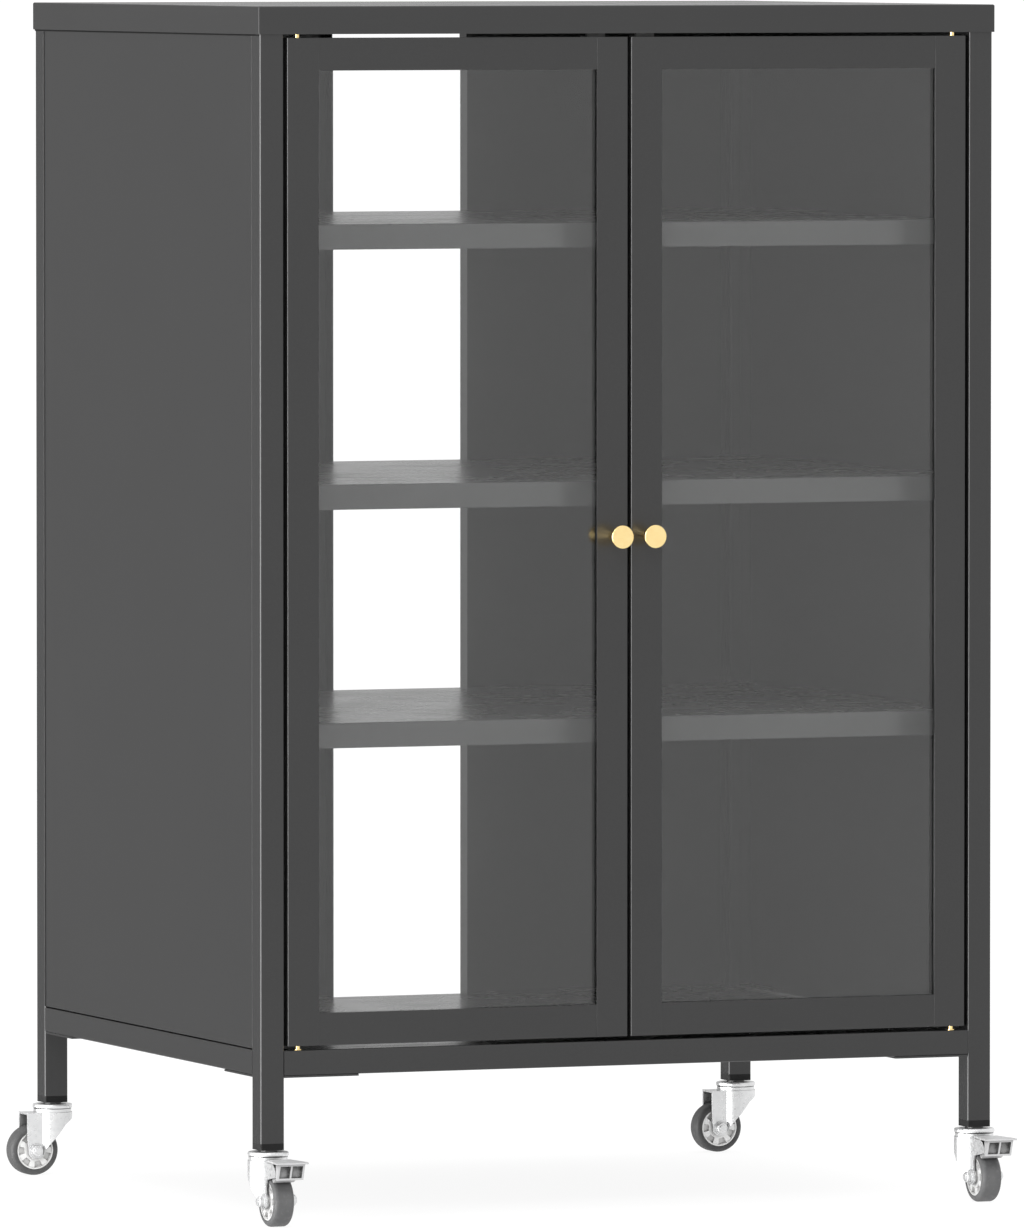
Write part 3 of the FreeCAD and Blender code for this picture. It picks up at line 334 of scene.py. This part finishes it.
# The nodes that look different from the others of their slot.
OWN_FINISHES = {
    "upper_shelf": SHELF_LIT_COAT, "middle_shelf": SHELF_LIT_COAT, "lower_shelf": SHELF_LIT_COAT,
    "top_cover": CAP_PAINT,
    "magnet_catches": nylon("catch_nylon", low=(0.2, 0.2, 0.202), high=(0.24, 0.24, 0.242)),
    # Rear tyres: the tyre rubber made darker, painted shade for the shade under the cabinet.
    "rear_right_caster_tyre": rubber("painted_deep_shade_tyre_rubber", low=(0.034, 0.034, 0.035),
                                     high=(0.05, 0.05, 0.05)),
    "rear_left_caster_tyre": rubber("painted_half_shade_tyre_rubber", low=(0.06, 0.06, 0.061),
                                    high=(0.08, 0.08, 0.08)),
}


def dress():
    """Gives each CAD node its own finish, or that of the slot its packed material names."""
    for name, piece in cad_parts.items():
        for place in piece.material_slots:
            key = place.material.name.split(".")[0]
            place.material = OWN_FINISHES.get(name, FINISHES[key])


dress()


# ---------------------------------------------------------------- made pieces

CLEARANCE = 0.05 * MM  # between a shade strip and the metal beside it
SHADE_STRIP_ROUNDING = 0.12 * MM
CAP_SHADE_STRIP_INSET = 1.1 * MM  # from the outside of the cap's rim
CAP_SHADE_STRIP_START = 1.6 * MM  # behind the face of the front posts
CAP_SHADE_STRIP_DROP = 1.2 * MM
PANEL_SHADE_STRIP_WIDTH = 1.3 * MM
PANEL_SHADE_STRIP_DEPTH = 1.4 * MM


def strip(name, path, across, low, high, finish):
    """A bar of oblong section that follows the corners of path in plan, from low to high. across
    is its width to the left of the path, or to the right where negative. Its edges are rounded."""
    path = [Vector(point) for point in path]
    mesh = bmesh.new()
    rings = []
    for index, point in enumerate(path):
        before = (point - path[index - 1]).normalized() if index else None
        after = (path[index + 1] - point).normalized() if index < len(path) - 1 else None
        sides = [Vector((-way.y, way.x)) for way in (before, after) if way is not None]
        mitre = sum(sides, Vector((0, 0)))
        mitre = mitre * (len(sides) / mitre.length_squared) if len(sides) > 1 else mitre
        inner = point + mitre * across
        rings.append([mesh.verts.new((spot.x, spot.y, up)) for spot, up in (
            (point, low), (inner, low), (inner, high), (point, high))])
    for first, second in zip(rings, rings[1:]):
        for corner in range(4):
            following = (corner + 1) % 4
            mesh.faces.new((first[corner], first[following], second[following], second[corner]))
    mesh.faces.new(reversed(rings[0]))
    mesh.faces.new(rings[-1])
    bmesh.ops.recalc_face_normals(mesh, faces=mesh.faces)
    data = bpy.data.meshes.new(name)
    mesh.to_mesh(data)
    mesh.free()
    data.materials.append(finish)
    made = bpy.data.objects.new(name, data)
    bpy.context.scene.collection.objects.link(made)
    rounding = made.modifiers.new("rounding", "BEVEL")
    rounding.width = SHADE_STRIP_ROUNDING
    rounding.segments = 2
    return made


def on_root(made):
    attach(made, "root")


def cap_shade_strip():
    """A near-black strip under the cap's rim, along both sides and the back: painted shade for
    the shadow line under the cap.
    """
    low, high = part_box("top_cover")
    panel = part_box("right_side_panel")[1]
    right, back = high[0] - CAP_SHADE_STRIP_INSET, high[1] - CAP_SHADE_STRIP_INSET
    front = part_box("post_front_right")[0][1] + CAP_SHADE_STRIP_START
    on_root(strip("cap_shade_strip", [(-right, front), (-right, back), (right, back), (right, front)],
                 -(right - panel[0] - CLEARANCE), low[2] - CAP_SHADE_STRIP_DROP, low[2], SHADE_STRIP))


def panel_shade_strips():
    """Upright dark strips in the joints between the side panels and the posts: painted shade for
    the dark seam lines there.
    """
    for side, name in ((-1, "left"), (1, "right")):
        low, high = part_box(name + "_side_panel")
        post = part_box("post_front_" + name)
        face = post[1][0] - CLEARANCE if side > 0 else post[0][0] + CLEARANCE
        for end, (joint, word) in ((-1, (low[1], "front")), (1, (high[1], "rear"))):
            ends = [(face, joint), (face, joint + end * PANEL_SHADE_STRIP_WIDTH)]
            # Dark strips at the joints: painted shade.
            on_root(strip(f"{name}_{word}_panel_shade_strip", ends, side * end * PANEL_SHADE_STRIP_DEPTH,
                         low[2], high[2], FINISHES["gasket_rubber"]))


cap_shade_strip()
panel_shade_strips()


# ---------------------------------------------------------------- stage: floor, light, camera

FLOOR_HALF = 9.0
FLOOR_GLOW = 0.9

# The place, aim, size and power of each lamp.
SOFTBOXES = {
    "softbox_top": ((-0.3, -0.6, 3.2), (0, 0, 0.4), (2.4, 2.4), 16),
    "softbox_key": ((-1.75, -3.3, 3.0), (0, 0, 0.5), (0.8, 0.8), 36),
    "softbox_strip": ((-3.1, -1.5, 0.9), (0, 0, 0.5), (0.5, 2.0), 26),
}

ROOM_STRENGTH = 1.07
# Two directions, and how much light mirror-like surfaces see the closer they look to each.
REAR_LEFT = (-0.369, 0.928, 0.0)
REAR_LEFT_SHADE = {"band": (0.35, 0.95), "onto": (1.06, 0.42)}
LEFT = (-1.0, 0.0, 0.0)
LEFT_WINDOW = {"band": (0.7, 0.9), "onto": (0.0, 7.0)}

LENS = 427.9
SENSOR_WIDTH = 36
FAR_CLIP = 200
CAMERA_PLACE = (-4.1648, -10.4742, 0.988)
CAMERA_AIM = (0.36927, 0.92807, -0.04827)


def floor():
    """A wide matt floor that glows almost white and that mirror-like surfaces do not see."""
    finish = Finish("studio_floor")
    tone = finish.tint(finish.noise_over(FULL, scale=0.6), (0.15, 0.15, 0.15), (0.17, 0.17, 0.17))
    shader = finish.surface(Base_Color=tone, Roughness=finish.noise_over((0.6, 0.75), scale=3),
                            Specular_IOR_Level=0.0, Emission_Color=WHITE,
                            Emission_Strength=FLOOR_GLOW)
    mesh = bpy.data.meshes.new("studio_floor")
    corners = [(x * FLOOR_HALF, y * FLOOR_HALF, 0) for x, y in ((-1, -1), (1, -1), (1, 1), (-1, 1))]
    mesh.from_pydata(corners, [], [(0, 1, 2, 3)])
    mesh.materials.append(finish.done(shader))
    made = bpy.data.objects.new("studio_floor", mesh)
    bpy.context.scene.collection.objects.link(made)
    made.visible_glossy = False


def softbox(name, place, aim, size, power):
    lamp = bpy.data.lights.new(name, "AREA")
    lamp.shape = "RECTANGLE"
    lamp.size, lamp.size_y = size
    lamp.energy = power
    made = bpy.data.objects.new(name, lamp)
    bpy.context.scene.collection.objects.link(made)
    made.location = place
    made.rotation_euler = (Vector(aim) - Vector(place)).to_track_quat("-Z", "Y").to_euler()
    made.visible_camera = False


def studio_air():
    """A white room. Mirror-like surfaces see it dimmer to the rear left, with a bright window
    on the left."""
    world = bpy.data.worlds.new("studio_air")
    bpy.context.scene.world = world
    room = Nodes(world)
    way = room.node("ShaderNodeTexCoord").outputs["Generated"]
    shade = room.spread(room.agreement(way, REAR_LEFT), **REAR_LEFT_SHADE)
    window = room.spread(room.agreement(way, LEFT), **LEFT_WINDOW)
    lit = room.maths("ADD", shade, window)
    ray = room.node("ShaderNodeLightPath").outputs
    mirrored = room.maths("SUBTRACT", ray["Is Glossy Ray"], ray["Is Transmission Ray"],
                          use_clamp=True)
    strength = room.node("ShaderNodeMix", {0: mirrored, 2: ROOM_STRENGTH, 3: lit}).outputs[0]
    backdrop = room.node("ShaderNodeBackground", {"Color": opaque(WHITE), "Strength": strength})
    room.node("ShaderNodeOutputWorld", {"Surface": backdrop.outputs[0]})


def camera():
    """Long lens, slightly above the middle of the cabinet, to the left of its front."""
    made = bpy.data.objects.new("camera", bpy.data.cameras.new("camera"))
    bpy.context.scene.collection.objects.link(made)
    made.data.lens = LENS
    made.data.sensor_width = SENSOR_WIDTH
    made.data.clip_end = FAR_CLIP
    made.location = CAMERA_PLACE
    made.rotation_euler = Vector(CAMERA_AIM).to_track_quat("-Z", "Y").to_euler()
    bpy.context.scene.camera = made


floor()
studio_air()
for name, (place, aim, size, power) in SOFTBOXES.items():
    softbox(name, place, aim, size, power)
camera()
bpy.context.scene.view_settings.view_transform = "Standard"
